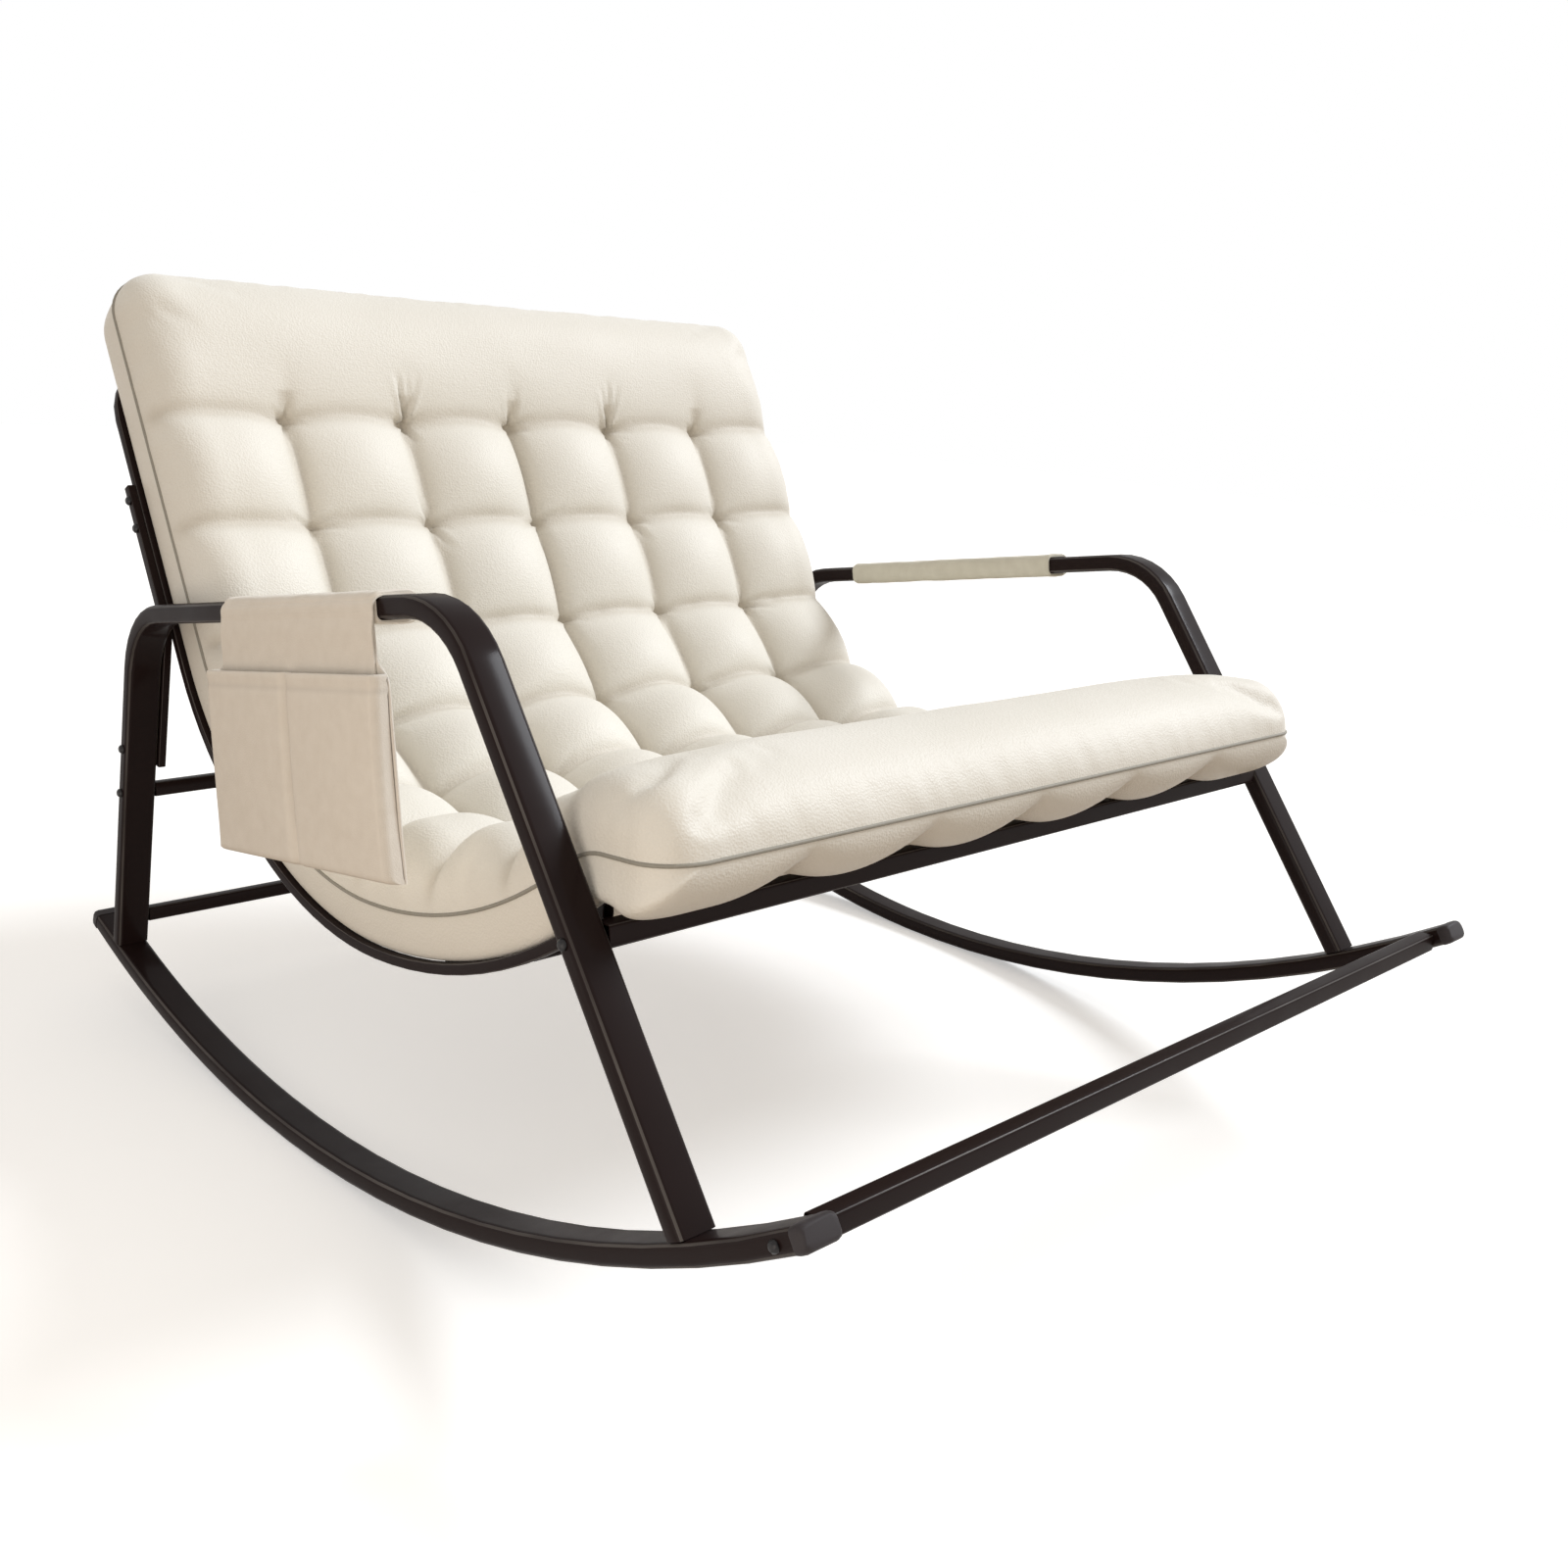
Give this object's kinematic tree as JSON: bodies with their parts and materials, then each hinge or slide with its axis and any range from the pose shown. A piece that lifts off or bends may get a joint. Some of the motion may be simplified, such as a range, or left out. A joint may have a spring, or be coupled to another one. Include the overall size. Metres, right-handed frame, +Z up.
{
  "type": "two-seat rocking chair",
  "caption": "Wide rocking chair with a bent steel tube frame on curved runners, a one-piece tufted cushion, an arm pocket and an arm sleeve.",
  "frame": {"origin": "on the floor, under the middle of the bounding box", "axes": "+Z up, the seat faces -Y, the sitter's right side is -X"},
  "size_m": [1.1702, 1.3612, 0.9231],
  "materials": {
    "frame": "satin black powder coat",
    "fastener": "blackened",
    "plastic": "matte",
    "cushion": "ivory pebble-grain leather over a soft filling",
    "cloth": "matte beige cloth"
  },
  "bodies": {
    "chair": {"back_cross_tube_lower": "frame", "back_cross_tube_upper": "frame", "back_hoop": "frame", "cushion": "cushion", "front_foot_bar": "frame", "left_arm_frame": "frame", "left_back_stay": "frame", "left_foot_bar_screw": "fastener", "left_front_cap": "plastic", "left_rear_bar_bolt": "fastener", "left_rear_cap": "plastic", "left_rocker": "frame", "left_seat_rail": "frame", "left_seat_rail_bolt": "fastener", "left_stay_lower_bolt": "fastener", "left_stay_middle_bolt": "fastener", "left_stay_upper_bolt": "fastener", "rear_lower_bar": "frame", "rear_upper_bar": "frame", "right_arm_frame": "frame", "right_back_stay": "frame", "right_foot_bar_screw": "fastener", "right_front_cap": "plastic", "right_rear_bar_bolt": "fastener", "right_rear_cap": "plastic", "right_rocker": "frame", "right_seat_rail": "frame", "right_seat_rail_bolt": "fastener", "right_stay_lower_bolt": "fastener", "right_stay_middle_bolt": "fastener", "right_stay_upper_bolt": "fastener", "seat_cross_tube_front": "frame", "seat_cross_tube_middle": "frame", "seat_cross_tube_rear": "frame", "seat_front_rail": "frame"},
    "pocket_sleeve": {"pocket_sleeve": "cloth"},
    "pocket_pouch": {"pocket_pouch": "cloth"},
    "left_arm_sleeve": {"left_arm_sleeve": "cloth"}
  },
  "joints": [
    {"name": "pocket_slide", "type": "slide", "parent": "chair", "child": "pocket_sleeve", "axis": [0, -0.9856, 0.169], "range_m": [-0.1, 0.04]},
    {"name": "pouch_swing", "type": "hinge", "parent": "pocket_sleeve", "child": "pocket_pouch", "pos_m": [-0.5631, 0.06704, 0.5949], "axis": [0, 0.9856, -0.169], "range_deg": [0, 60]},
    {"name": "left_sleeve_slide", "type": "slide", "parent": "chair", "child": "left_arm_sleeve", "axis": [0, -0.9856, 0.169], "range_m": [-0.06, 0.06]}
  ]
}
